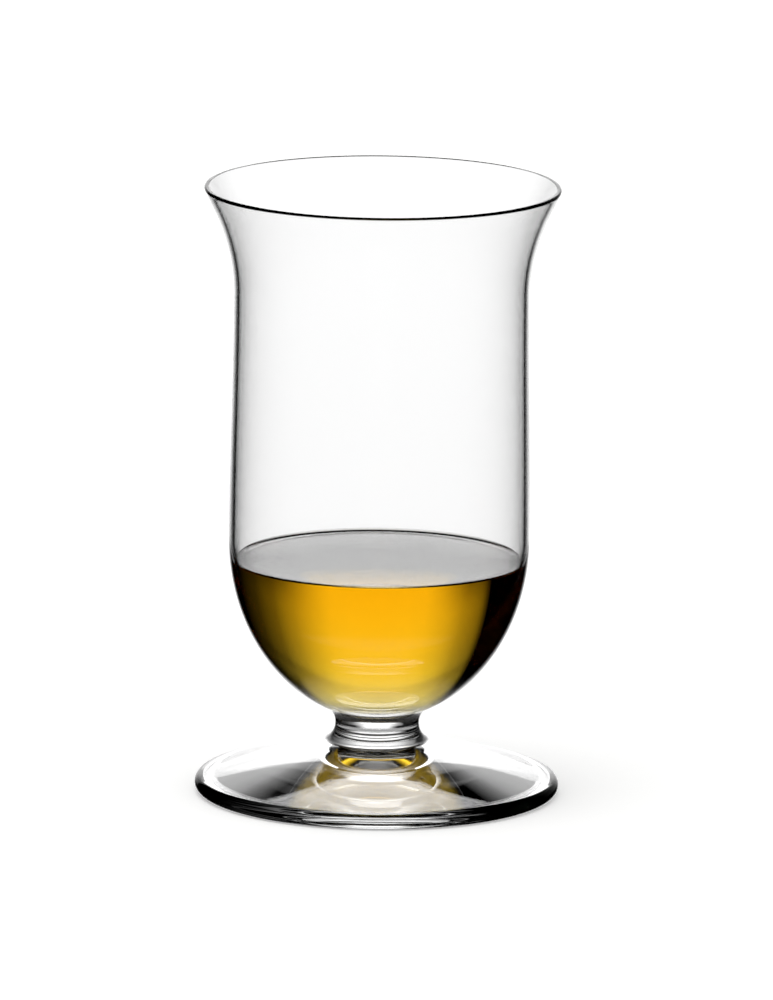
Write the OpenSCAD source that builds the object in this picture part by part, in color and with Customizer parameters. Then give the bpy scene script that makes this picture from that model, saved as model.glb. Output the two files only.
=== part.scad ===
// Whisky nosing glass with a flared lip, a round-bottomed bowl, a short waisted stem and a wide foot.
// It stands on the plane z = 0 with its axis on +Z.

/* [Glass] */
// Height of the whole glass, from the table to the top of the rim
glass_h = 115; // [108:0.5:130]

/* [Bowl] */
// Outer diameter of the rim
rim_d = 66.4; // [60:0.2:74]
// Thickness of the glass at the rim, which is fully rounded
rim_t = 0.9; // [0.6:0.1:1.5]
// Height of the flared lip above the throat
flare_h = 20.4; // [12:0.2:28]
// Outer diameter of the throat, the narrowest place above the belly
throat_d = 55; // [48:0.2:58]
// Outer diameter of the belly, the widest place of the round bowl
belly_d = 56.2; // [50:0.2:60]
// Height of the belly above the table
belly_z = 48.3; // [45:0.1:56]
// How far the round bottom reaches down from the belly
round_h = 34.1; // [31:0.1:37]
// Thickness of the wall at the belly
wall_t = 1.1; // [0.8:0.1:2]
// Thickness of the glass under the cavity
base_t = 6.8; // [5:0.1:9]

/* [Stem] */
// Diameter of the waist, the narrowest place of the glass
waist_d = 15.7; // [10:0.1:20]
// Length of the straight stretch of the waist
waist_h = 0.2; // [0.1:0.1:3]
// Radius of the hollow between the bowl and the waist
neck_r = 3.4; // [2.4:0.1:4.4]
// Radius of the hollow between the waist and the foot
root_r = 3.2; // [2.6:0.1:4.6]

/* [Foot] */
// Outer diameter of the foot
foot_d = 68.2; // [58:0.2:78]
// Thickness of the foot's edge, which is fully rounded
edge_t = 3.3; // [2.4:0.1:4.6]
// Width of the flat ring that the glass stands on
ring_w = 0.8; // [0.4:0.1:3]
// Width of the bevel inside the standing ring
bevel_w = 1.5; // [0.6:0.1:4]
// Height of the bevel inside the standing ring
bevel_h = 0.5; // [0.2:0.1:1]
// How far the underside is hollowed out at its middle
hollow_h = 4.8; // [1.6:0.1:5.6]
// Diameter of the flat middle of the hollow
hollow_d = 16; // [4:0.5:30]

/* [Whisky] */
// How far the surface of the whisky lies below the belly
ullage_h = 4.2; // [3:0.1:16]
// How far the whisky climbs the wall
meniscus_h = 0.6; // [0.4:0.1:2]
// Width of the ring in which the surface curves up to the wall
meniscus_w = 5; // [2:0.2:8]
// Gap kept between the whisky's solid and the glass
wet_gap = 0.05; // [0.02:0.01:0.2]

/* [Hidden] */
$fn = 120;

// Straight steps that each kind of curve is drawn in
bottom_steps = 26;
wall_steps = 10;
flare_steps = 14;
cap_steps = 8;
hollow_steps = 9;
edge_steps = 7;
meniscus_steps = 8;

// Share of the flare's height above which the lip runs out straight
lip_share = 0.8;
// Number of halvings in the search for the place where the neck meets the bowl
neck_halvings = 40;

// The bowl is drawn round the middle of its wall, from the belly to the rim
rim_mid_z = glass_h - rim_t / 2;
rim_mid_r = (rim_d - rim_t) / 2;
throat_z = glass_h - flare_h;
throat_mid_r = (throat_d - wall_at(throat_z)) / 2;
belly_mid_r = (belly_d - wall_t) / 2;

// The cavity's round bottom has the belly's centre and its own depth
cavity_r = belly_d / 2 - wall_t;
cavity_h = round_h - base_t;

// The neck's hollow touches the bowl at this angle from straight down and ends at the waist
neck_t = neck_angle(0, 90, neck_halvings);
waist_r = waist_d / 2;
waist_top = belly_z - round_h * cos(neck_t) - neck_r * cos(bottom_lean(neck_t));
waist_bottom = waist_top - waist_h;

// The foot's cone touches the root's hollow above it and the round edge below it
edge_r = edge_t / 2;
root_mid = [waist_r + root_r, waist_bottom];
edge_mid = [foot_d / 2 - edge_r, edge_r];
root_to_edge = root_mid - edge_mid;
foot_slope = atan2(root_to_edge.x, root_to_edge.y) + acos((root_r + edge_r) / norm(root_to_edge));
root_z = waist_bottom - root_r * cos(foot_slope);
ring_inner_r = edge_mid.x - ring_w;

// The whisky fills the cavity up to its level, and its edge climbs the wall from there
whisky_r = cavity_r - wet_gap;
whisky_h = cavity_h - wet_gap;
level_z = belly_z - ullage_h;
contact_t = acos((ullage_h - meniscus_h) / whisky_h);
contact_r = whisky_r * sin(contact_t);

// Thickness of the wall at a height above the belly
function wall_at(z) = wall_t + (rim_t - wall_t) * (z - belly_z) / (rim_mid_z - belly_z);

// Smooth step from 0 to 1, level at both ends, and its slope
function ease(u) = u * u * (3 - 2 * u);
function ease_slope(u) = 6 * u * (1 - u);

// Curve of the lip from 0 to 1, which starts upright and ends straight, and its slope
function flare(u) = (u < lip_share ? u * u : lip_share * (2 * u - lip_share)) / flare_norm;
function flare_slope(u) = 2 * min(u, lip_share) / flare_norm;
flare_norm = lip_share * (2 - lip_share);

// Radius and slope of the middle of the wall
wall_h = throat_z - belly_z;
lip_h = rim_mid_z - throat_z;
function mid_r(z) = z < throat_z
    ? belly_mid_r + (throat_mid_r - belly_mid_r) * ease((z - belly_z) / wall_h)
    : throat_mid_r + (rim_mid_r - throat_mid_r) * flare((z - throat_z) / lip_h);
function mid_slope(z) = z < throat_z
    ? (throat_mid_r - belly_mid_r) * ease_slope((z - belly_z) / wall_h) / wall_h
    : (rim_mid_r - throat_mid_r) * flare_slope((z - throat_z) / lip_h) / lip_h;

// Point of the wall at a height of its middle, outside for a side of 1 and inside for -1
function wall_point(z, side) =
    let (lean = atan(mid_slope(z)), half = side * wall_at(z) / 2)
    [mid_r(z) + half * cos(lean), z - half * sin(lean)];

// Heights of the wall's middle from the belly to the rim
wall_heights = concat(
    [for (i = [1 : wall_steps]) belly_z + wall_h * i / wall_steps],
    [for (i = [1 : flare_steps]) throat_z + lip_h * i / flare_steps]);

// Points on a circle's arc, from one angle to another, with 0 outwards and 90 up
function arc(mid, r, from, to, steps) =
    [for (i = [0 : steps]) let (a = from + (to - from) * i / steps) mid + r * [cos(a), sin(a)]];

// A list of points without its last one, where the next list begins with it
function but_last(points) = [for (i = [0 : len(points) - 2]) points[i]];

// Points on a round bottom below the belly, with angles from straight down
function bottom_arc(r, h, from, to) =
    [for (i = [0 : bottom_steps]) let (t = from + (to - from) * i / bottom_steps)
        [r * sin(t), belly_z - h * cos(t)]];

// Angle from straight down of the bowl's outward direction at an angle of its round bottom
function bottom_lean(t) = atan2(sin(t) / (belly_d / 2), cos(t) / round_h);

// Angle of the round bottom at which a hollow of the neck's radius also touches the waist
function neck_angle(low, high, left) =
    let (t = (low + high) / 2, reach = belly_d / 2 * sin(t) + neck_r * sin(bottom_lean(t)))
    left == 0 ? t
        : reach > waist_d / 2 + neck_r ? neck_angle(low, t, left - 1)
        : neck_angle(t, high, left - 1);

// Rise of the whisky's surface at a share of the meniscus, from its inner end to the wall
function climb(share) = meniscus_h * pow(share, 3);

module turned(points) {
    rotate_extrude() polygon(points);
}

// Blown bowl: the neck's hollow, the round bottom, the wall with its lip, and the cavity
module bowl() {
    neck_mid = [waist_r + neck_r, waist_top];
    rim_lean = atan(mid_slope(rim_mid_z));
    color("lightcyan", 0.4)
        turned(concat(
            [[0, waist_top]],
            but_last(arc(neck_mid, neck_r, 180, 90 + bottom_lean(neck_t), hollow_steps)),
            bottom_arc(belly_d / 2, round_h, neck_t, 90),
            [for (z = wall_heights) wall_point(z, 1)],
            [for (a = [0 : 180 / cap_steps : 180 - rim_lean])
                [rim_mid_r, rim_mid_z] + rim_t / 2 * [cos(a), sin(a)]],
            [for (i = [len(wall_heights) - 1 : -1 : 0]) wall_point(wall_heights[i], -1)],
            bottom_arc(cavity_r, cavity_h, 90, 0)));
}

// Short solid stem: the straight waist and the hollow that widens to the foot
module stem() {
    color("lightcyan", 0.5)
        turned(concat(
            [[0, root_z]],
            arc(root_mid, root_r, 270 - foot_slope, 180, hollow_steps),
            [[waist_r, waist_top], [0, waist_top]]));
}

// Pressed foot: a low cone with a round edge, a flat standing ring, and an underside that is hollowed out
// by a short bevel, a low cone and a flat middle
module foot() {
    color("lightcyan", 0.6)
        turned(concat(
            [[0, root_z], [waist_r + root_r * (1 - sin(foot_slope)), root_z]],
            but_last(arc(edge_mid, edge_r, 90 - foot_slope, 0, edge_steps)),
            arc(edge_mid, edge_r, 0, -90, edge_steps),
            [[ring_inner_r, 0], [ring_inner_r - bevel_w, bevel_h], [hollow_d / 2, hollow_h], [0, hollow_h]]));
}

// The whisky, up to its level, with the edge of its surface drawn up the wall
module whisky() {
    color("goldenrod", 0.8)
        turned(concat(
            bottom_arc(whisky_r, whisky_h, 0, contact_t),
            [for (i = [meniscus_steps - 1 : -1 : 0]) let (share = i / meniscus_steps)
                [contact_r - meniscus_w * (1 - share), level_z + climb(share)]],
            [[0, level_z]]));
}

bowl();
stem();
foot();
whisky();
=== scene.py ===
"""Whisky nosing glass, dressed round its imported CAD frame.

The three pieces of glass and the whisky are turned round the glass's axis from the same sizes and
curves as the CAD solids, in much finer steps, because clear glass shows each facet of its far side.
The glass is lit as clear glass is photographed: a bright panel behind it that fades at both sides,
a soft box above the panel, and dark cards beyond them, which draw the dark lines along the edges of
the glass.
"""

import logging
import math
from dataclasses import dataclass, field
from enum import Enum

import bpy
import bmesh
from mathutils import Matrix, Vector


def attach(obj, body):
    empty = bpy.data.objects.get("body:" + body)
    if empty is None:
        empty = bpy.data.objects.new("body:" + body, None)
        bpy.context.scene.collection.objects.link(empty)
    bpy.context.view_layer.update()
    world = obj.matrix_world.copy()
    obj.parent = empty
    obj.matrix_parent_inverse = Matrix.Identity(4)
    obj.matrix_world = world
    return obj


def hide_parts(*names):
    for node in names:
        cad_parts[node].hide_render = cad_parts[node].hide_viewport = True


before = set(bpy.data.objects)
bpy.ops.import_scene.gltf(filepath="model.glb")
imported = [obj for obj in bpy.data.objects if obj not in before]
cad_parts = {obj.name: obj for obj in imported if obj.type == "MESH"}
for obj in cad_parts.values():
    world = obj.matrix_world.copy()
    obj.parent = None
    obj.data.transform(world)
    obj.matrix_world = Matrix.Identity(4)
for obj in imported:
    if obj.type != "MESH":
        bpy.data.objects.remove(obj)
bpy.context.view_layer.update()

LOG = logging.getLogger("nosing_glass")

MM = 0.001
BODY = "root"
CLEAR = (1.0, 1.0, 1.0, 1.0)

Outline = list[tuple[float, float]]
Stops = tuple[tuple[float, float], ...]


class Slot(Enum):
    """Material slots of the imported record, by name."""

    CRYSTAL = "crystal"
    WHISKY = "whisky"


def linear(hex_colour: str, alpha: float = 1.0) -> tuple[float, float, float, float]:
    """Turn an sRGB hex colour into the linear colour that the shaders work in.

    Args:
        hex_colour: Six hex digits with a leading hash.
        alpha: Fourth value of the colour.

    Returns:
        Red, green, blue and alpha, in linear light.
    """
    shares = [int(hex_colour[i : i + 2], 16) / 255 for i in (1, 3, 5)]
    red, green, blue = (s / 12.92 if s <= 0.04045 else ((s + 0.055) / 1.055) ** 2.4 for s in shares)
    return red, green, blue, alpha


def add_node(
    tree: bpy.types.NodeTree,
    kind: str,
    settings: dict[str, object] | None = None,
    links: dict[str | int, object] | None = None,
) -> bpy.types.Node:
    """Add a node to a tree, with its settings, its socket values and its links.

    Args:
        tree: Node tree that gets the node.
        kind: Blender's type name of the node.
        settings: Properties of the node, by name.
        links: What goes into each input, by its name or number: an output socket is linked, and
            any other value is set on the socket itself.

    Returns:
        The new node.
    """
    node = tree.nodes.new(kind)
    for name, value in (settings or {}).items():
        setattr(node, name, value)
    for key, value in (links or {}).items():
        if isinstance(value, bpy.types.NodeSocket):
            tree.links.new(value, node.inputs[key])
        else:
            node.inputs[key].default_value = value
    return node


def new_material(name: str) -> tuple[bpy.types.Material, bpy.types.NodeTree]:
    """Make an empty material.

    Args:
        name: Name of the material.

    Returns:
        The material, and its node tree with no node in it.
    """
    made = bpy.data.materials.new(name)
    made.use_nodes = True
    made.node_tree.nodes.clear()
    return made, made.node_tree


def ramp_of(
    tree: bpy.types.NodeTree, share: bpy.types.NodeSocket, stops: Stops
) -> bpy.types.NodeSocket:
    """Add a ramp of greys to a tree.

    Args:
        tree: Node tree that gets the ramp.
        share: What goes into the ramp, from 0 to 1.
        stops: Place and level of each stop.

    Returns:
        The level at that share.
    """
    ramp = add_node(tree, "ShaderNodeValToRGB", links={"Fac": share})
    elements = ramp.color_ramp.elements
    while len(elements) < len(stops):
        elements.new(0.5)
    for element, (place, level) in zip(elements, stops):
        element.position = place
        element.color = (level, level, level, 1.0)
    return ramp.outputs["Color"]


def where_looked_at(tree: bpy.types.NodeTree) -> bpy.types.NodeSocket:
    """Tell the rays that look at a background from those that only light it.

    Args:
        tree: Node tree of the background.

    Returns:
        1 where the camera sees it, straight or through or in the glass, and 0 elsewhere.
    """
    path = add_node(tree, "ShaderNodeLightPath").outputs
    seen = path["Is Camera Ray"]
    for other in ("Is Glossy Ray", "Is Transmission Ray"):
        seen = add_node(
            tree, "ShaderNodeMath", {"operation": "MAXIMUM"}, {0: seen, 1: path[other]}
        ).outputs["Value"]
    return seen


@dataclass(frozen=True)
class BlownCrystal:
    """Lead-free crystal, blown or pressed and fire polished, so its surface is smooth and clear.

    What the eye gets is clean refraction with a hard dark edge line, and a very slight waviness of
    the wall, which the blowing leaves and which bends the lines behind it a little.
    """

    name: str = "blown_crystal"
    tint: str = "#fefefe"
    ior: float = 1.52
    # Length and depth of the waves that blowing leaves in the wall, in millimetres
    wave_mm: float = 16.0
    wave_depth_mm: float = 0.012
    # Waves are drawn out along the axis, because the wall is stretched that way
    draw_out_share: float = 0.45
    # Each wave is plain and smooth
    wave_detail: float = 1.0
    wave_roughness: float = 0.4

    def material(self) -> bpy.types.Material:
        """Build the glass's material.

        Returns:
            A material of clear glass with the blower's faint waves as a bump.
        """
        made, tree = new_material(self.name)
        place = add_node(tree, "ShaderNodeTexCoord").outputs["Object"]
        turned = add_node(
            tree,
            "ShaderNodeMapping",
            links={"Vector": place, "Scale": (1.0, 1.0, self.draw_out_share)},
        ).outputs["Vector"]
        waves = add_node(
            tree,
            "ShaderNodeTexNoise",
            links={
                "Vector": turned,
                "Scale": 1.0 / (self.wave_mm * MM),
                "Detail": self.wave_detail,
                "Roughness": self.wave_roughness,
            },
        ).outputs["Fac"]
        bump = add_node(
            tree,
            "ShaderNodeBump",
            links={"Height": waves, "Strength": 1.0, "Distance": self.wave_depth_mm * MM},
        ).outputs["Normal"]
        glass = add_node(
            tree,
            "ShaderNodeBsdfPrincipled",
            links={
                "Base Color": linear(self.tint),
                "Roughness": 0.0,
                "IOR": self.ior,
                "Transmission Weight": 1.0,
                "Normal": bump,
            },
        ).outputs["BSDF"]
        add_node(tree, "ShaderNodeOutputMaterial", links={"Surface": glass})
        return made


@dataclass(frozen=True)
class FusedJoint:
    """Plane where two pieces of glass are fused. Light goes straight on, so nothing shows."""

    name: str = "fused_joint"

    def material(self) -> bpy.types.Material:
        """Build a material that nothing is seen of.

        Returns:
            A fully transparent material.
        """
        made, tree = new_material(self.name)
        clear = add_node(tree, "ShaderNodeBsdfTransparent", links={"Color": CLEAR})
        add_node(tree, "ShaderNodeOutputMaterial", links={"Surface": clear.outputs["BSDF"]})
        return made


@dataclass(frozen=True)
class AddedSheenFilm:
    """An added clear film over the whisky's level surface, which makes it mirror the panel more
    strongly than one face of liquid does: a made-up sheen, not part of the drink.

    What the eye gets is a pale neutral sheen over the amber, brighter than a still drink seen from
    low gives.
    """

    name: str = "added_sheen_film"
    ior: float = 1.36

    def material(self) -> bpy.types.Material:
        """Build the film's material.

        Returns:
            A clear liquid surface without any colour of its own.
        """
        made, tree = new_material(self.name)
        surface = add_node(
            tree,
            "ShaderNodeBsdfPrincipled",
            links={
                "Base Color": CLEAR,
                "Roughness": 0.0,
                "IOR": self.ior,
                "Transmission Weight": 1.0,
            },
        ).outputs["BSDF"]
        add_node(tree, "ShaderNodeOutputMaterial", links={"Surface": surface})
        return made


@dataclass(frozen=True)
class AgedWhisky:
    """Cask-aged whisky, a clear amber liquid.

    What the eye gets is a colour that deepens with the length of the light's way through it.
    """

    name: str = "aged_whisky"
    ior: float = 1.36
    # What the liquid lets through, and how fast it takes out the rest
    amber: str = "#fff38b"
    dimming_per_m: float = 150.0

    def material(self) -> bpy.types.Material:
        """Build the liquid's material.

        Returns:
            A clear surface over a volume that takes out blue and some green.
        """
        made, tree = new_material(self.name)
        surface = add_node(
            tree,
            "ShaderNodeBsdfPrincipled",
            links={
                "Base Color": CLEAR,
                "Roughness": 0.0,
                "IOR": self.ior,
                "Transmission Weight": 1.0,
            },
        ).outputs["BSDF"]
        body = add_node(
            tree,
            "ShaderNodeVolumeAbsorption",
            links={"Color": linear(self.amber), "Density": self.dimming_per_m},
        ).outputs["Volume"]
        add_node(tree, "ShaderNodeOutputMaterial", links={"Surface": surface, "Volume": body})
        return made


@dataclass(frozen=True)
class GlassSizes:
    """Driving sizes of the glass in millimetres, as in the part's source, and what follows."""

    glass_h: float = 115.0
    rim_d: float = 66.4
    rim_t: float = 0.9
    flare_h: float = 20.4
    throat_d: float = 55.0
    belly_d: float = 56.2
    belly_z: float = 48.3
    round_h: float = 34.1
    wall_t: float = 1.1
    base_t: float = 6.8
    waist_d: float = 15.7
    waist_h: float = 0.2
    neck_r: float = 3.4
    root_r: float = 3.2
    foot_d: float = 68.2
    edge_t: float = 3.3
    ring_w: float = 0.8
    bevel_w: float = 1.5
    bevel_h: float = 0.5
    hollow_h: float = 4.8
    hollow_d: float = 16.0
    ullage_h: float = 4.2
    meniscus_h: float = 0.6
    meniscus_w: float = 5.0
    # Share of the flare's height above which the lip runs out straight
    lip_share: float = 0.8
    # Number of halvings in the search for the place where the neck meets the bowl
    neck_halvings: int = 60

    @property
    def rim_mid(self) -> tuple[float, float]:
        """Middle of the rounded rim, as radius and height."""
        return (self.rim_d - self.rim_t) / 2, self.glass_h - self.rim_t / 2

    @property
    def throat_z(self) -> float:
        """Height of the throat."""
        return self.glass_h - self.flare_h

    @property
    def cavity(self) -> tuple[float, float]:
        """Radius and depth of the cavity's round bottom."""
        return self.belly_d / 2 - self.wall_t, self.round_h - self.base_t

    @property
    def waist_r(self) -> float:
        """Radius of the waist."""
        return self.waist_d / 2

    def wall_at(self, z: float) -> float:
        """Thickness of the wall at a height above the belly."""
        share = (z - self.belly_z) / (self.rim_mid[1] - self.belly_z)
        return self.wall_t + (self.rim_t - self.wall_t) * share

    def mid_wall(self, z: float) -> tuple[float, float]:
        """Follow the middle of the wall from the belly up to the rim.

        Args:
            z: Height above the table.

        Returns:
            Radius of the wall's middle there, and its slope, as radius gained for each height.
        """
        belly_r = (self.belly_d - self.wall_t) / 2
        throat_r = (self.throat_d - self.wall_at(self.throat_z)) / 2
        rim_r, rim_z = self.rim_mid
        if z < self.throat_z:
            height = self.throat_z - self.belly_z
            u = (z - self.belly_z) / height
            reach = throat_r - belly_r
            return belly_r + reach * u * u * (3 - 2 * u), reach * 6 * u * (1 - u) / height
        height = rim_z - self.throat_z
        u = (z - self.throat_z) / height
        norm = self.lip_share * (2 - self.lip_share)
        rise = u * u if u < self.lip_share else self.lip_share * (2 * u - self.lip_share)
        reach = rim_r - throat_r
        return throat_r + reach * rise / norm, reach * 2 * min(u, self.lip_share) / norm / height

    def wall_point(self, z: float, side: float) -> tuple[float, float]:
        """Find a point of the wall's surface.

        Args:
            z: Height of the wall's middle.
            side: 1 for the outside and -1 for the inside.

        Returns:
            Radius and height of the point.
        """
        radius, slope = self.mid_wall(z)
        lean = math.atan(slope)
        half = side * self.wall_at(z) / 2
        return radius + half * math.cos(lean), z - half * math.sin(lean)

    def bottom_point(self, radius: float, depth: float, t: float) -> tuple[float, float]:
        """Point of a round bottom, at an angle in radians from straight down."""
        return radius * math.sin(t), self.belly_z - depth * math.cos(t)

    def bottom_lean(self, t: float) -> float:
        """Angle from straight down of the bowl's outward direction, at one of its round bottom."""
        return math.atan2(math.sin(t) / (self.belly_d / 2), math.cos(t) / self.round_h)

    @property
    def neck_t(self) -> float:
        """Angle of the round bottom where the neck's hollow leaves it to reach the waist."""
        low, high = 0.0, math.pi / 2
        for _ in range(self.neck_halvings):
            t = (low + high) / 2
            reach = self.belly_d / 2 * math.sin(t) + self.neck_r * math.sin(self.bottom_lean(t))
            if reach > self.waist_r + self.neck_r:
                high = t
            else:
                low = t
        return (low + high) / 2

    @property
    def waist_top(self) -> float:
        """Height of the plane where the bowl is fused to the stem."""
        t = self.neck_t
        lean = self.bottom_lean(t)
        return self.belly_z - self.round_h * math.cos(t) - self.neck_r * math.cos(lean)

    @property
    def waist_bottom(self) -> float:
        """Height where the waist starts to widen to the foot."""
        return self.waist_top - self.waist_h

    @property
    def edge_mid(self) -> tuple[float, float]:
        """Middle of the foot's rounded edge, as radius and height."""
        return (self.foot_d - self.edge_t) / 2, self.edge_t / 2

    @property
    def foot_slope(self) -> float:
        """Slope in radians of the foot's cone, which touches the root's hollow and the edge."""
        run = self.waist_r + self.root_r - self.edge_mid[0]
        rise = self.waist_bottom - self.edge_mid[1]
        reach = math.hypot(run, rise)
        return math.atan2(run, rise) + math.acos((self.root_r + self.edge_t / 2) / reach)

    @property
    def root_z(self) -> float:
        """Height of the plane where the stem is fused to the foot."""
        return self.waist_bottom - self.root_r * math.cos(self.foot_slope)

    @property
    def root_reach(self) -> float:
        """Radius of the plane where the stem is fused to the foot."""
        return self.waist_r + self.root_r * (1 - math.sin(self.foot_slope))

    @property
    def level_z(self) -> float:
        """Height of the whisky's level."""
        return self.belly_z - self.ullage_h


def arc(
    mid: tuple[float, float], radius: float, start: float, end: float, steps: int
) -> Outline:
    """Points on a circle's arc.

    Args:
        mid: Middle of the circle, as radius and height.
        radius: Radius of the circle.
        start: First angle in radians, with 0 outwards and a quarter turn up.
        end: Last angle.
        steps: Number of straight steps.

    Returns:
        The points from the first angle to the last.
    """
    angles = (start + (end - start) * i / steps for i in range(steps + 1))
    return [(mid[0] + radius * math.cos(a), mid[1] + radius * math.sin(a)) for a in angles]


def rounded(points: Outline, reach: float, steps: int) -> Outline:
    """Round off every corner of a line but its two ends.

    Args:
        points: The line's points in order.
        reach: How far from each corner the rounding starts and ends.
        steps: Number of straight steps in each rounded corner.

    Returns:
        The line with a smooth curve in place of each corner.
    """
    made = [points[0]]
    for before, corner, after in zip(points, points[1:], points[2:]):
        start, end = (
            tuple(c + (o - c) * reach / math.dist(corner, other) for c, o in zip(corner, other))
            for other in (before, after)
        )
        for i in range(steps + 1):
            u = i / steps
            made.append(
                tuple(
                    a * (1 - u) ** 2 + b * 2 * u * (1 - u) + c * u**2
                    for a, b, c in zip(start, corner, end)
                )
            )
    return made + [points[-1]]


def without_doubles(points: Outline, apart: float = 1e-4) -> Outline:
    """Leave out each point that lies on the one before it.

    Args:
        points: The outline in order.
        apart: Least distance of two points, in millimetres.

    Returns:
        The outline with no point twice.
    """
    kept = [points[0]]
    for point in points[1:]:
        if math.dist(point, kept[-1]) > apart:
            kept.append(point)
    return kept


@dataclass
class Lathe:
    """Turns an outline round the Z axis with Geometry Nodes, and welds its seam and its poles."""

    around: int = 256
    weld_mm: float = 0.001
    # Edges that are sharper than this stay sharp in the smooth shading
    sharp_angle: float = math.radians(40.0)
    tree: bpy.types.NodeTree | None = None

    def _socket(self, name: str, kind: str, way: str = "INPUT") -> str:
        """Add a named socket to the tree and return its identifier."""
        made = self.tree.interface.new_socket(name=name, in_out=way, socket_type=kind)
        return made.identifier

    def _math(self, operation: str, first: object, second: object = 0.0) -> bpy.types.NodeSocket:
        """Add a Math node to the tree and return its result."""
        values = {0: first, 1: second}
        node = add_node(self.tree, "ShaderNodeMath", {"operation": operation}, values)
        return node.outputs["Value"]

    def build(self) -> None:
        """Build the tree once. Each row of its grid is a point of the outline, turned round."""
        self.tree = tree = bpy.data.node_groups.new("turn_outline", "GeometryNodeTree")
        self._socket("Outline", "NodeSocketGeometry")
        self._socket("Around", "NodeSocketInt")
        self._socket("Weld", "NodeSocketFloat")
        self._socket("Finish", "NodeSocketMaterial")
        self._socket("Turned", "NodeSocketGeometry", "OUTPUT")
        given = add_node(tree, "NodeGroupInput").outputs
        count = add_node(
            tree, "GeometryNodeAttributeDomainSize", {"component": "MESH"}, {0: given["Outline"]}
        ).outputs["Point Count"]
        columns = self._math("ADD", given["Around"], 1.0)
        grid = add_node(
            tree,
            "GeometryNodeMeshGrid",
            links={"Size X": 1.0, "Size Y": 1.0, "Vertices X": count, "Vertices Y": columns},
        ).outputs["Mesh"]
        index = add_node(tree, "GeometryNodeInputIndex").outputs["Index"]
        row = self._math("FLOOR", self._math("DIVIDE", self._math("ADD", index, 0.5), columns))
        column = self._math("SUBTRACT", index, self._math("MULTIPLY", row, columns))
        angle = self._math("MULTIPLY", self._math("DIVIDE", column, given["Around"]), math.tau)
        place = add_node(tree, "GeometryNodeInputPosition").outputs["Position"]
        point = add_node(
            tree,
            "GeometryNodeSampleIndex",
            {"data_type": "FLOAT_VECTOR", "domain": "POINT"},
            {"Geometry": given["Outline"], "Value": place, "Index": row},
        ).outputs["Value"]
        parts = add_node(tree, "ShaderNodeSeparateXYZ", links={0: point}).outputs
        across = self._math("MULTIPLY", parts["X"], self._math("COSINE", angle))
        along = self._math("MULTIPLY", parts["X"], self._math("SINE", angle))
        turned = add_node(
            tree, "ShaderNodeCombineXYZ", links={"X": across, "Y": along, "Z": parts["Z"]}
        ).outputs["Vector"]
        shape = add_node(
            tree, "GeometryNodeSetPosition", links={"Geometry": grid, "Position": turned}
        ).outputs["Geometry"]
        shape = add_node(
            tree,
            "GeometryNodeMergeByDistance",
            links={"Geometry": shape, "Distance": given["Weld"]},
        ).outputs["Geometry"]
        shape = add_node(
            tree, "GeometryNodeSetShadeSmooth", links={"Geometry": shape, "Shade Smooth": True}
        ).outputs["Geometry"]
        shape = add_node(tree, "GeometryNodeRealizeInstances", links={0: shape}).outputs["Geometry"]
        shape = add_node(
            tree, "GeometryNodeSetMaterial", links={"Geometry": shape, "Material": given["Finish"]}
        ).outputs["Geometry"]
        add_node(tree, "NodeGroupOutput", links={"Turned": shape})

    def turn(self, name: str, outline: Outline, finish: bpy.types.Material) -> bpy.types.Object:
        """Turn a closed outline into a closed mesh.

        Args:
            name: Name of the new object.
            outline: Points as radius and height in millimetres, from axis to axis.
            finish: Material of the whole mesh.

        Returns:
            An object at the origin with a plain mesh, whose faces point outwards.
        """
        if self.tree is None:
            self.build()
        points = without_doubles(outline)
        line = bpy.data.meshes.new(name + "_outline")
        edges = [(i, i + 1) for i in range(len(points) - 1)]
        line.from_pydata([(r * MM, 0.0, z * MM) for r, z in points], edges, [])
        piece = bpy.data.objects.new(name, line)
        bpy.context.scene.collection.objects.link(piece)
        turning = piece.modifiers.new("turn", "NODES")
        turning.node_group = self.tree
        values = {"Around": self.around, "Weld": self.weld_mm * MM, "Finish": finish}
        for item in self.tree.interface.items_tree:
            if item.in_out == "INPUT" and item.name in values:
                turning[item.identifier] = values[item.name]
        seen = piece.evaluated_get(bpy.context.evaluated_depsgraph_get())
        mesh = bpy.data.meshes.new_from_object(seen)
        piece.modifiers.remove(turning)
        mesh.name = name
        mesh.materials.clear()
        mesh.materials.append(finish)
        mesh.polygons.foreach_set("material_index", [0] * len(mesh.polygons))
        piece.data = mesh
        bpy.data.meshes.remove(line)
        point_outwards(mesh)
        mesh.set_sharp_from_angle(angle=self.sharp_angle)
        return piece


def point_outwards(mesh: bpy.types.Mesh) -> None:
    """Turn a closed mesh's faces round if they point inwards.

    Args:
        mesh: The closed mesh, changed in place.
    """
    work = bmesh.new()
    work.from_mesh(mesh)
    if work.calc_volume(signed=True) < 0:
        bmesh.ops.reverse_faces(work, faces=work.faces)
        work.to_mesh(mesh)
    work.free()


def clear_joint(
    mesh: bpy.types.Mesh,
    height: float,
    joint: bpy.types.Material,
    off_plane: float = 1e-7,
    level: float = 0.999,
) -> None:
    """Give the flat faces of a fused plane the material that doesn't show.

    Args:
        mesh: Mesh of a piece of glass.
        height: Height of the plane in millimetres.
        joint: Material of the fused plane.
        off_plane: How far in metres a face's middle may lie off the plane.
        level: Least upward share of a face's normal.
    """
    if joint.name not in mesh.materials:
        mesh.materials.append(joint)
    place = list(mesh.materials).index(joint)
    for face in mesh.polygons:
        if abs(face.center.z - height * MM) < off_plane and abs(face.normal.z) > level:
            face.material_index = place
            face.use_smooth = False


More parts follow.
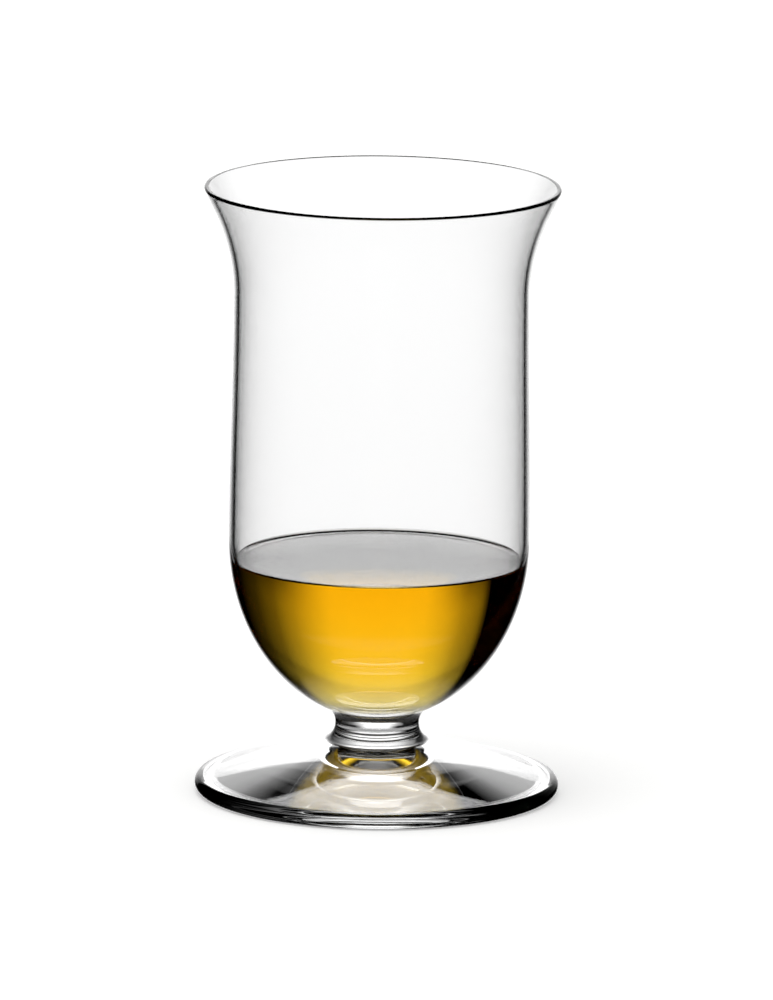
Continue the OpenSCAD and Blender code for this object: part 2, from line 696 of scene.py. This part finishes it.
def add_shell(mesh: bpy.types.Mesh, shell: bpy.types.Object) -> None:
    """Move a closed shell into another piece's mesh, where it keeps its own material.

    Args:
        mesh: Mesh that takes the shell in.
        shell: Object whose mesh is taken over. It is removed.
    """
    mesh.materials.append(shell.data.materials[0])
    work = bmesh.new()
    work.from_mesh(mesh)
    before = len(work.faces)
    work.from_mesh(shell.data)
    work.faces.ensure_lookup_table()
    for face in work.faces[before:]:
        face.material_index = len(mesh.materials) - 1
    work.to_mesh(mesh)
    work.free()
    bpy.data.meshes.remove(shell.data)


def settle(piece: bpy.types.Object, slot: Slot, *nodes: str) -> None:
    """Make a piece ride on the part's body, stand for its CAD nodes and log its faces and bounds.

    Args:
        piece: The finished piece.
        slot: The record's material slot of the piece. Not used.
        nodes: CAD nodes that it replaces.
    """
    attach(piece, BODY)
    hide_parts(*nodes)
    lowest, highest = (
        tuple(round(value / MM, 2) for value in piece.bound_box[corner]) for corner in (0, 6)
    )
    faces = len(piece.data.polygons)
    LOG.info("%s: %d faces, from %s to %s mm", piece.name, faces, lowest, highest)


@dataclass
class Bowl:
    """Blown bowl: the neck's hollow, the round bottom, the wall with its lip, and the cavity."""

    sizes: GlassSizes
    lathe: Lathe
    neck_steps: int = 32
    bottom_steps: int = 82
    wall_steps: int = 36
    flare_steps: int = 44
    rim_steps: int = 26

    def outline(self) -> Outline:
        """Draw the bowl's outline.

        Returns:
            Points up the outside from the fused plane, over the rim and down the cavity.
        """
        s = self.sizes
        neck_t = s.neck_t
        rim_r, rim_z = s.rim_mid
        rim_lean = math.atan(s.mid_wall(rim_z)[1])
        heights = [
            s.belly_z + (s.throat_z - s.belly_z) * i / self.wall_steps
            for i in range(1, self.wall_steps + 1)
        ] + [
            s.throat_z + (rim_z - s.throat_z) * i / self.flare_steps
            for i in range(1, self.flare_steps + 1)
        ]
        bottom_shares = [i / self.bottom_steps for i in range(self.bottom_steps + 1)]
        right = math.pi / 2
        neck_end = right + s.bottom_lean(neck_t)
        cavity_r, cavity_h = s.cavity
        return (
            [(0.0, s.waist_top)]
            + arc((s.waist_r + s.neck_r, s.waist_top), s.neck_r, math.pi, neck_end, self.neck_steps)
            + [
                s.bottom_point(s.belly_d / 2, s.round_h, neck_t + (right - neck_t) * u)
                for u in bottom_shares
            ]
            + [s.wall_point(z, 1) for z in heights]
            + arc((rim_r, rim_z), s.rim_t / 2, -rim_lean, 0.0, self.rim_steps // 4)
            + arc((rim_r, rim_z), s.rim_t / 2, 0.0, math.pi - rim_lean, self.rim_steps)
            + [s.wall_point(z, -1) for z in reversed(heights)]
            + [s.bottom_point(cavity_r, cavity_h, right * (1 - u)) for u in bottom_shares]
        )

    def build(self, crystal: bpy.types.Material, joint: bpy.types.Material) -> bpy.types.Object:
        """Build and dress the bowl.

        Args:
            crystal: Material of the glass.
            joint: Material of the fused plane.

        Returns:
            The finished piece.
        """
        piece = self.lathe.turn("bowl_blown", self.outline(), crystal)
        clear_joint(piece.data, self.sizes.waist_top, joint)
        settle(piece, Slot.CRYSTAL, "bowl")
        return piece


@dataclass
class Stem:
    """Short solid stem: the straight waist, and the hollow that widens to the foot."""

    sizes: GlassSizes
    lathe: Lathe
    root_steps: int = 64

    def outline(self) -> Outline:
        """Draw the stem's outline.

        Returns:
            Points from the foot's plane up the outside to the bowl's plane.
        """
        s = self.sizes
        middle = (s.waist_r + s.root_r, s.waist_bottom)
        start = 1.5 * math.pi - s.foot_slope
        return (
            [(0.0, s.root_z)]
            + arc(middle, s.root_r, start, math.pi, self.root_steps)
            + [(s.waist_r, s.waist_top), (0.0, s.waist_top)]
        )

    def build(self, crystal: bpy.types.Material, joint: bpy.types.Material) -> bpy.types.Object:
        """Build and dress the stem.

        Args:
            crystal: Material of the glass.
            joint: Material of the fused planes.

        Returns:
            The finished piece.
        """
        piece = self.lathe.turn("stem_waisted", self.outline(), crystal)
        clear_joint(piece.data, self.sizes.waist_top, joint)
        clear_joint(piece.data, self.sizes.root_z, joint)
        settle(piece, Slot.CRYSTAL, "stem")
        return piece


@dataclass
class Foot:
    """Pressed foot: a low cone with a round edge, a flat standing ring and a hollowed underside."""

    sizes: GlassSizes
    lathe: Lathe
    cone_steps: int = 24
    edge_steps: int = 30
    corner_steps: int = 14
    # How far from their corners the bevel and the hollow are rounded off, and the same for the ring
    fillet_reach: float = 0.74
    ring_reach: float = 0.3

    def outline(self) -> Outline:
        """Draw the foot's outline.

        Returns:
            Points from the stem's plane down the cone, round the edge and back under the foot.
        """
        s = self.sizes
        slope = s.foot_slope
        edge_r = s.edge_t / 2
        edge_mid = s.edge_mid
        top = (s.root_reach, s.root_z)
        cone_end = (edge_mid[0] + edge_r * math.sin(slope), edge_mid[1] + edge_r * math.cos(slope))
        cone = [
            tuple(a + (b - a) * i / self.cone_steps for a, b in zip(top, cone_end))
            for i in range(self.cone_steps + 1)
        ]
        inner_r = edge_mid[0] - s.ring_w
        bevel_end = (inner_r - s.bevel_w, s.bevel_h)
        bevel_mid = ((inner_r + bevel_end[0]) / 2, s.bevel_h / 2)
        ring = rounded(
            [(edge_mid[0], 0.0), (inner_r, 0.0), bevel_mid], self.ring_reach, self.corner_steps
        )
        hollow = rounded(
            [bevel_mid, bevel_end, (s.hollow_d / 2, s.hollow_h), (0.0, s.hollow_h)],
            self.fillet_reach,
            self.corner_steps,
        )
        return (
            [(0.0, s.root_z)]
            + cone
            + arc(edge_mid, edge_r, math.pi / 2 - slope, 0.0, self.edge_steps)
            + arc(edge_mid, edge_r, 0.0, -math.pi / 2, self.edge_steps)
            + ring
            + hollow
        )

    def build(self, crystal: bpy.types.Material, joint: bpy.types.Material) -> bpy.types.Object:
        """Build and dress the foot.

        Args:
            crystal: Material of the glass.
            joint: Material of the fused plane.

        Returns:
            The finished piece.
        """
        piece = self.lathe.turn("foot_pressed", self.outline(), crystal)
        clear_joint(piece.data, self.sizes.root_z, joint)
        settle(piece, Slot.CRYSTAL, "foot")
        return piece


@dataclass
class Whisky:
    """The whisky, up to its level, with the edge of its surface drawn up the wall.

    Its side lies a hair inside the glass, so that light goes from one to the other with no air
    between.
    """

    sizes: GlassSizes
    lathe: Lathe
    soak: float = 0.08
    bottom_steps: int = 110
    meniscus_steps: int = 60
    # How late the surface curls up to the wall, where the CAD's solid has an even curve
    climb_power: float = 9.0
    # The added film starts a hair above the liquid, and the gap and the film are far thinner than
    # the eye can see; the film is a made-up sheen that only strengthens the surface's mirroring
    sheen_gap: float = 0.02
    sheen_t: float = 0.03

    @property
    def contact_t(self) -> float:
        """Angle of the cavity's round bottom, from straight down, where the liquid ends."""
        return math.acos((self.sizes.ullage_h - self.sizes.meniscus_h) / self.sizes.cavity[1])

    def surface(self, lift: float = 0.0) -> Outline:
        """Follow the liquid's surface.

        Args:
            lift: How far above the surface the line runs.

        Returns:
            Points from the wetted edge in to the axis.
        """
        s = self.sizes
        contact_r = s.cavity[0] * math.sin(self.contact_t) - lift
        shares = [i / self.meniscus_steps for i in range(self.meniscus_steps, -1, -1)]
        level = s.level_z + lift
        line = [
            (contact_r - s.meniscus_w * (1 - u), level + s.meniscus_h * u**self.climb_power)
            for u in shares
        ]
        return line + [(0.0, level)]

    def outline(self) -> Outline:
        """Draw the whisky's outline.

        Returns:
            Points from the bottom up the side to the wetted edge, and in along the surface.
        """
        s = self.sizes
        radius, depth = (size + self.soak for size in s.cavity)
        side = [
            s.bottom_point(radius, depth, self.contact_t * i / self.bottom_steps)
            for i in range(self.bottom_steps + 1)
        ]
        return side + self.surface()

    def build(self, whisky: bpy.types.Material, sheen_film: bpy.types.Material) -> bpy.types.Object:
        """Build and dress the whisky, with an added film over its surface as a closed film in the
        same mesh; the film is a made-up sheen that strengthens the surface's mirroring.

        Args:
            whisky: Material of the liquid.
            sheen_film: Material of the added film on the surface, a made-up sheen.

        Returns:
            The finished piece.
        """
        piece = self.lathe.turn("whisky_pour", self.outline(), whisky)
        # The film over the surface only strengthens its mirroring: a made-up sheen
        top = self.surface(self.sheen_gap + self.sheen_t)
        film = self.lathe.turn("whisky_added_sheen", self.surface(self.sheen_gap)[::-1] + top, sheen_film)
        add_shell(piece.data, film)
        settle(piece, Slot.WHISKY, "whisky")
        return piece


@dataclass(frozen=True)
class LightField:
    """One source of light round the glass, by the direction in which it is seen from there.

    Its level is its strength times a share by each of two angles in degrees: the angle round the
    glass from straight behind it, negative to the left, and the angle above the horizon.
    """

    strength: float
    across: Stops
    upwards: Stops


@dataclass(frozen=True)
class StudioLight:
    """The light round the glass: a panel straight behind it and a soft box above and behind it.

    The panel is brightest in its middle. Its upper half fades softly at its sides, and its lower
    half ends sooner. All the rest is dark cards, which draw black edges on the glass and whisky.
    """

    name: str = "panel_and_cards"
    fields: tuple[LightField, ...] = (
        # Upper half of the panel, which the whisky and its surface show
        LightField(
            strength=1.25,
            across=(
                (-29.0, 0.0), (-26.0, 0.2), (-20.0, 0.4), (-15.0, 0.72), (-10.0, 0.95), (-6.0, 1.0),
                (6.0, 1.0), (10.0, 0.95), (15.0, 0.68), (20.0, 0.4), (27.0, 0.14), (36.0, 0.04),
                (50.0, 0.0),
            ),
            # The whisky's surface mirrors 11 to 12 degrees, and its round bottom shows the rest
            upwards=(
                (-9.0, 0.0), (-2.0, 1.0), (6.0, 0.98), (9.5, 1.05), (11.0, 0.86), (12.0, 0.83),
                (14.0, 1.2), (17.0, 1.2), (20.0, 0.65), (27.0, 0.5), (35.0, 0.0),
            ),
        ),
        # Lower half of the panel, which the wall of the bowl shows
        LightField(
            strength=1.2,
            across=(
                (-21.0, 0.0), (-17.0, 0.25), (-13.0, 0.75), (-10.0, 1.0), (10.0, 1.0), (13.0, 0.8),
                (18.0, 0.3), (23.0, 0.0),
            ),
            upwards=((-36.0, 0.0), (-30.0, 0.85), (-15.0, 0.95), (-9.0, 1.0), (-2.0, 0.0)),
        ),
        # Soft box, which the foot mirrors
        LightField(
            strength=1.8,
            across=(
                (-27.0, 0.0), (-21.0, 0.4), (-14.0, 1.0), (14.0, 1.0), (21.0, 0.4), (27.0, 0.0),
            ),
            upwards=((15.0, 0.0), (19.0, 0.8), (24.0, 1.0), (28.0, 0.9), (31.0, 0.45), (35.0, 0.0)),
        ),
    )

    @staticmethod
    def _ramp(
        tree: bpy.types.NodeTree, angle: bpy.types.NodeSocket, stops: Stops
    ) -> bpy.types.NodeSocket:
        """Turn an angle in radians into a share by a list of stops, and return the share."""
        share = add_node(
            tree,
            "ShaderNodeMapRange",
            links={"Value": angle, "From Min": -math.pi, "From Max": math.pi},
        ).outputs["Result"]
        return ramp_of(tree, share, tuple((degrees / 360 + 0.5, level) for degrees, level in stops))

    def material(self) -> bpy.types.Material:
        """Build the material of the panel, the soft box and the cards.

        Returns:
            An emission that depends on the direction from the middle of their dome.
        """
        made, tree = new_material(self.name)
        place = add_node(tree, "ShaderNodeTexCoord").outputs["Object"]
        ray = add_node(tree, "ShaderNodeVectorMath", {"operation": "NORMALIZE"}, {0: place})
        parts = add_node(tree, "ShaderNodeSeparateXYZ", links={0: ray.outputs["Vector"]}).outputs
        round_glass = add_node(
            tree, "ShaderNodeMath", {"operation": "ARCTAN2"}, {0: parts["X"], 1: parts["Y"]}
        ).outputs["Value"]
        above = add_node(
            tree, "ShaderNodeMath", {"operation": "ARCSINE"}, {0: parts["Z"]}
        ).outputs["Value"]
        total: bpy.types.NodeSocket | float = 0.0
        for source in self.fields:
            shares = add_node(
                tree,
                "ShaderNodeMath",
                {"operation": "MULTIPLY"},
                {
                    0: self._ramp(tree, round_glass, source.across),
                    1: self._ramp(tree, above, source.upwards),
                },
            ).outputs["Value"]
            total = add_node(
                tree,
                "ShaderNodeMath",
                {"operation": "MULTIPLY_ADD"},
                {0: shares, 1: source.strength, 2: total},
            ).outputs["Value"]
        glow = add_node(
            tree, "ShaderNodeEmission", links={"Color": CLEAR, "Strength": total}
        ).outputs["Emission"]
        add_node(tree, "ShaderNodeOutputMaterial", links={"Surface": glow})
        return made


@dataclass(frozen=True)
class PaleTable:
    """Matt white laminate table that runs out of view, and keeps the glass's shadow."""

    name: str = "pale_table"
    tone: str = "#f4f4f3"
    # Brightness that the table adds where it is looked at, so that it is white beside the shadow
    lift: float = 0.32

    def material(self) -> bpy.types.Material:
        """Build the table's material.

        Returns:
            A matt white surface.
        """
        made, tree = new_material(self.name)
        matt = add_node(
            tree,
            "ShaderNodeBsdfDiffuse",
            links={"Color": linear(self.tone)},
        ).outputs["BSDF"]
        level = add_node(
            tree,
            "ShaderNodeMath",
            {"operation": "MULTIPLY"},
            {0: where_looked_at(tree), 1: self.lift},
        ).outputs["Value"]
        glow = add_node(
            tree, "ShaderNodeEmission", links={"Color": CLEAR, "Strength": level}
        ).outputs["Emission"]
        both = add_node(tree, "ShaderNodeAddShader", links={0: matt, 1: glow}).outputs["Shader"]
        add_node(tree, "ShaderNodeOutputMaterial", links={"Surface": both})
        return made


@dataclass(frozen=True)
class ShadedCard:
    """Small round card under the foot, pale in its middle and black at its rim.

    Only the glass sees it. Its middle brightens the stem and the bottom of the bowl, and its black
    rim keeps the foot's edge dark.
    """

    name: str = "shaded_card"
    radius: float = 0.0303
    # By the distance from the middle as a share of the radius
    shades: Stops = ((0.0, 0.4), (0.45, 0.4), (0.75, 0.25), (0.92, 0.0))

    def material(self) -> bpy.types.Material:
        """Build the card's material.

        Returns:
            A glow that fades from the middle to the rim.
        """
        made, tree = new_material(self.name)
        place = add_node(tree, "ShaderNodeTexCoord").outputs["Object"]
        reach = add_node(tree, "ShaderNodeVectorMath", {"operation": "LENGTH"}, {0: place})
        share = add_node(
            tree,
            "ShaderNodeMath",
            {"operation": "DIVIDE"},
            {0: reach.outputs["Value"], 1: self.radius},
        ).outputs["Value"]
        level = ramp_of(tree, share, self.shades)
        glow = add_node(tree, "ShaderNodeEmission", links={"Color": level, "Strength": 1.0})
        add_node(tree, "ShaderNodeOutputMaterial", links={"Surface": glow.outputs["Emission"]})
        return made


@dataclass
class Studio:
    """Table, light panel with its cards, lamp, world and camera. Lengths are in metres."""

    table_half: float = 6.0
    # A hair of air between the table and the foot's standing ring
    table_gap: float = 0.00004
    # The card under the foot lies a hair above the table
    card_gap: float = 0.00003
    card_corners: int = 96
    dome_r: float = 1.5
    dome_z: float = 0.05
    dome_rings: int = 24
    world_level: float = 0.75
    lamp_d: float = 1.2
    lamp_watts: float = 6.0
    lamp_at: tuple[float, float, float] = (-0.3, -0.2, 1.6)
    camera_from: Vector = field(default_factory=lambda: Vector((0.0, 0.0, 57.5 * MM)))
    camera_distance: float = 2.641
    camera_pitch: float = math.radians(11.45)
    camera_roll: float = math.radians(0.645)
    # Picture size, length of the lens and where the aim point falls, all in pixels
    picture: tuple[int, int] = (773, 1000)
    lens_px: float = 14161.0
    aim_px: tuple[float, float] = (379.7, 489.75)
    sensor_mm: float = 36.0
    # Nearest and farthest thing that the camera sees
    clip: tuple[float, float] = (0.05, 50.0)
    # Most surfaces that a ray passes through, and most mirrorings and clear planes on its way
    passes: int = 32
    mirrorings: int = 16
    clear_planes: int = 24

    @staticmethod
    def _mesh(
        name: str,
        points: list[tuple[float, float, float]],
        faces: list[tuple[int, ...]],
        finish: bpy.types.Material,
    ) -> bpy.types.Object:
        """Make a stage object.

        Args:
            name: Name of the object.
            points: Its corners.
            faces: The corners of each face, by number.
            finish: Its material.

        Returns:
            The object, in the scene.
        """
        mesh = bpy.data.meshes.new(name)
        mesh.from_pydata(points, [], faces)
        mesh.materials.append(finish)
        made = bpy.data.objects.new(name, mesh)
        bpy.context.scene.collection.objects.link(made)
        return made

    @staticmethod
    def _only_for_glass(made: bpy.types.Object) -> None:
        """Let only rays that met the glass see an object."""
        made.visible_camera = made.visible_diffuse = made.visible_shadow = False
        made.visible_volume_scatter = False

    def table(self) -> bpy.types.Object:
        """Build the table top.

        Returns:
            A wide flat stage object just under the foot.
        """
        h, z = self.table_half, -self.table_gap
        corners = [(-h, -h, z), (h, -h, z), (h, h, z), (-h, h, z)]
        made = self._mesh("table", corners, [(0, 1, 2, 3)], PaleTable().material())
        made.visible_glossy = made.visible_transmission = False
        return made

    def foot_card(self) -> bpy.types.Object:
        """Build the card under the foot, which lies on the table just inside the standing ring.

        Returns:
            A flat round stage object that only the glass sees.
        """
        card = ShadedCard()
        n, r = self.card_corners, card.radius
        angles = [math.tau * i / n for i in range(n)]
        points = [(r * math.cos(a), r * math.sin(a), -self.card_gap) for a in angles]
        made = self._mesh("foot_card", points, [tuple(range(n))], card.material())
        self._only_for_glass(made)
        return made

    def cards(self, camera: bpy.types.Object) -> bpy.types.Object:
        """Build the panel and cards as a dome round the glass that is kept square to the camera.

        The glass is photographed as on a turntable: for another side the glass turns, and the panel
        stays behind it. So the dome has a Locked Track constraint that turns it round the axis to
        the camera. Only rays that met the glass see it.

        Args:
            camera: The camera that the dome is square to.

        Returns:
            The dome, a closed ball that is seen from inside.
        """
        n, rings, r = 2 * self.dome_rings, self.dome_rings, self.dome_r
        points = [(0.0, 0.0, -r), (0.0, 0.0, r)]
        for k in range(1, rings):
            t = math.pi * k / rings
            reach, z = r * math.sin(t), -r * math.cos(t)
            turns = (math.tau * i / n for i in range(n))
            points += [(reach * math.sin(a), reach * math.cos(a), z) for a in turns]
        faces = [(0, 2 + (i + 1) % n, 2 + i) for i in range(n)]
        last = 2 + (rings - 2) * n
        faces += [(1, last + i, last + (i + 1) % n) for i in range(n)]
        for low in range(2, last, n):
            high = low + n
            faces += [
                (low + i, low + (i + 1) % n, high + (i + 1) % n, high + i) for i in range(n)
            ]
        made = self._mesh("panel_dome", points, faces, StudioLight().material())
        made.location.z = self.dome_z
        self._only_for_glass(made)
        turn = made.constraints.new("LOCKED_TRACK")
        turn.target = camera
        turn.track_axis = "TRACK_NEGATIVE_Y"
        turn.lock_axis = "LOCK_Z"
        return made

    def lamp(self) -> None:
        """Build one large soft lamp overhead, for the table's shadow."""
        data = bpy.data.lights.new("overhead_softbox", "AREA")
        data.shape = "DISK"
        data.size = self.lamp_d
        data.energy = self.lamp_watts
        lamp = bpy.data.objects.new("overhead_softbox", data)
        lamp.location = self.lamp_at
        lamp.rotation_mode = "QUATERNION"
        lamp.rotation_quaternion = (-lamp.location).to_track_quat("-Z", "Y")
        lamp.visible_camera = lamp.visible_glossy = lamp.visible_transmission = False
        bpy.context.scene.collection.objects.link(lamp)

    def world(self) -> None:
        """Make the world white where it is looked at, and a plain soft light for the table."""
        made = bpy.data.worlds.new("studio")
        bpy.context.scene.world = made
        made.use_nodes = True
        tree = made.node_tree
        tree.nodes.clear()
        level = add_node(
            tree,
            "ShaderNodeMapRange",
            links={"Value": where_looked_at(tree), "To Min": self.world_level, "To Max": 1.0},
        ).outputs["Result"]
        back = add_node(
            tree, "ShaderNodeBackground", links={"Color": CLEAR, "Strength": level}
        ).outputs["Background"]
        add_node(tree, "ShaderNodeOutputWorld", links={"Surface": back})

    def camera(self) -> bpy.types.Object:
        """Place the camera as the photograph's, which looks along +Y and a little down.

        Returns:
            The scene's camera.
        """
        data = bpy.data.cameras.new("camera")
        data.sensor_width = self.sensor_mm
        data.lens = self.lens_px * self.sensor_mm / max(self.picture)
        data.clip_start, data.clip_end = self.clip
        made = bpy.data.objects.new("camera", data)
        bpy.context.scene.collection.objects.link(made)
        pitch, roll = self.camera_pitch, self.camera_roll
        ahead = Vector((0.0, math.cos(pitch), -math.sin(pitch)))
        level = Vector((1.0, 0.0, 0.0))
        upright = level.cross(ahead)
        right = level * math.cos(roll) + upright * math.sin(roll)
        up = upright * math.cos(roll) - level * math.sin(roll)
        off_x = (self.aim_px[0] - self.picture[0] / 2) / self.lens_px
        off_y = (self.picture[1] / 2 - self.aim_px[1]) / self.lens_px
        look = (ahead - right * off_x - up * off_y).normalized()
        right = look.cross(up).normalized()
        up = right.cross(look)
        turn = Matrix((right, up, -look)).transposed()
        made.rotation_mode = "QUATERNION"
        made.rotation_quaternion = turn.to_quaternion()
        made.location = self.camera_from - ahead * self.camera_distance
        bpy.context.scene.camera = made
        return made

    def build(self) -> None:
        """Build the whole studio."""
        camera = self.camera()
        self.table()
        self.foot_card()
        self.cards(camera)
        self.lamp()
        self.world()
        scene = bpy.context.scene
        scene.view_settings.view_transform = "Standard"
        scene.cycles.max_bounces = scene.cycles.transmission_bounces = self.passes
        scene.cycles.glossy_bounces = self.mirrorings
        scene.cycles.transparent_max_bounces = self.clear_planes
        LOG.info("studio: table, light panel, lamp, world and camera")


def main() -> None:
    """Build the pieces in order, from the table up, and then the studio round them."""
    logging.basicConfig(level=logging.INFO, format="%(name)s: %(message)s")
    sizes = GlassSizes()
    lathe = Lathe()
    crystal = BlownCrystal().material()
    joint = FusedJoint().material()
    Foot(sizes, lathe).build(crystal, joint)
    Stem(sizes, lathe).build(crystal, joint)
    Bowl(sizes, lathe).build(crystal, joint)
    Whisky(sizes, lathe).build(AgedWhisky().material(), AddedSheenFilm().material())
    Studio().build()


if __name__ == "__main__":
    main()
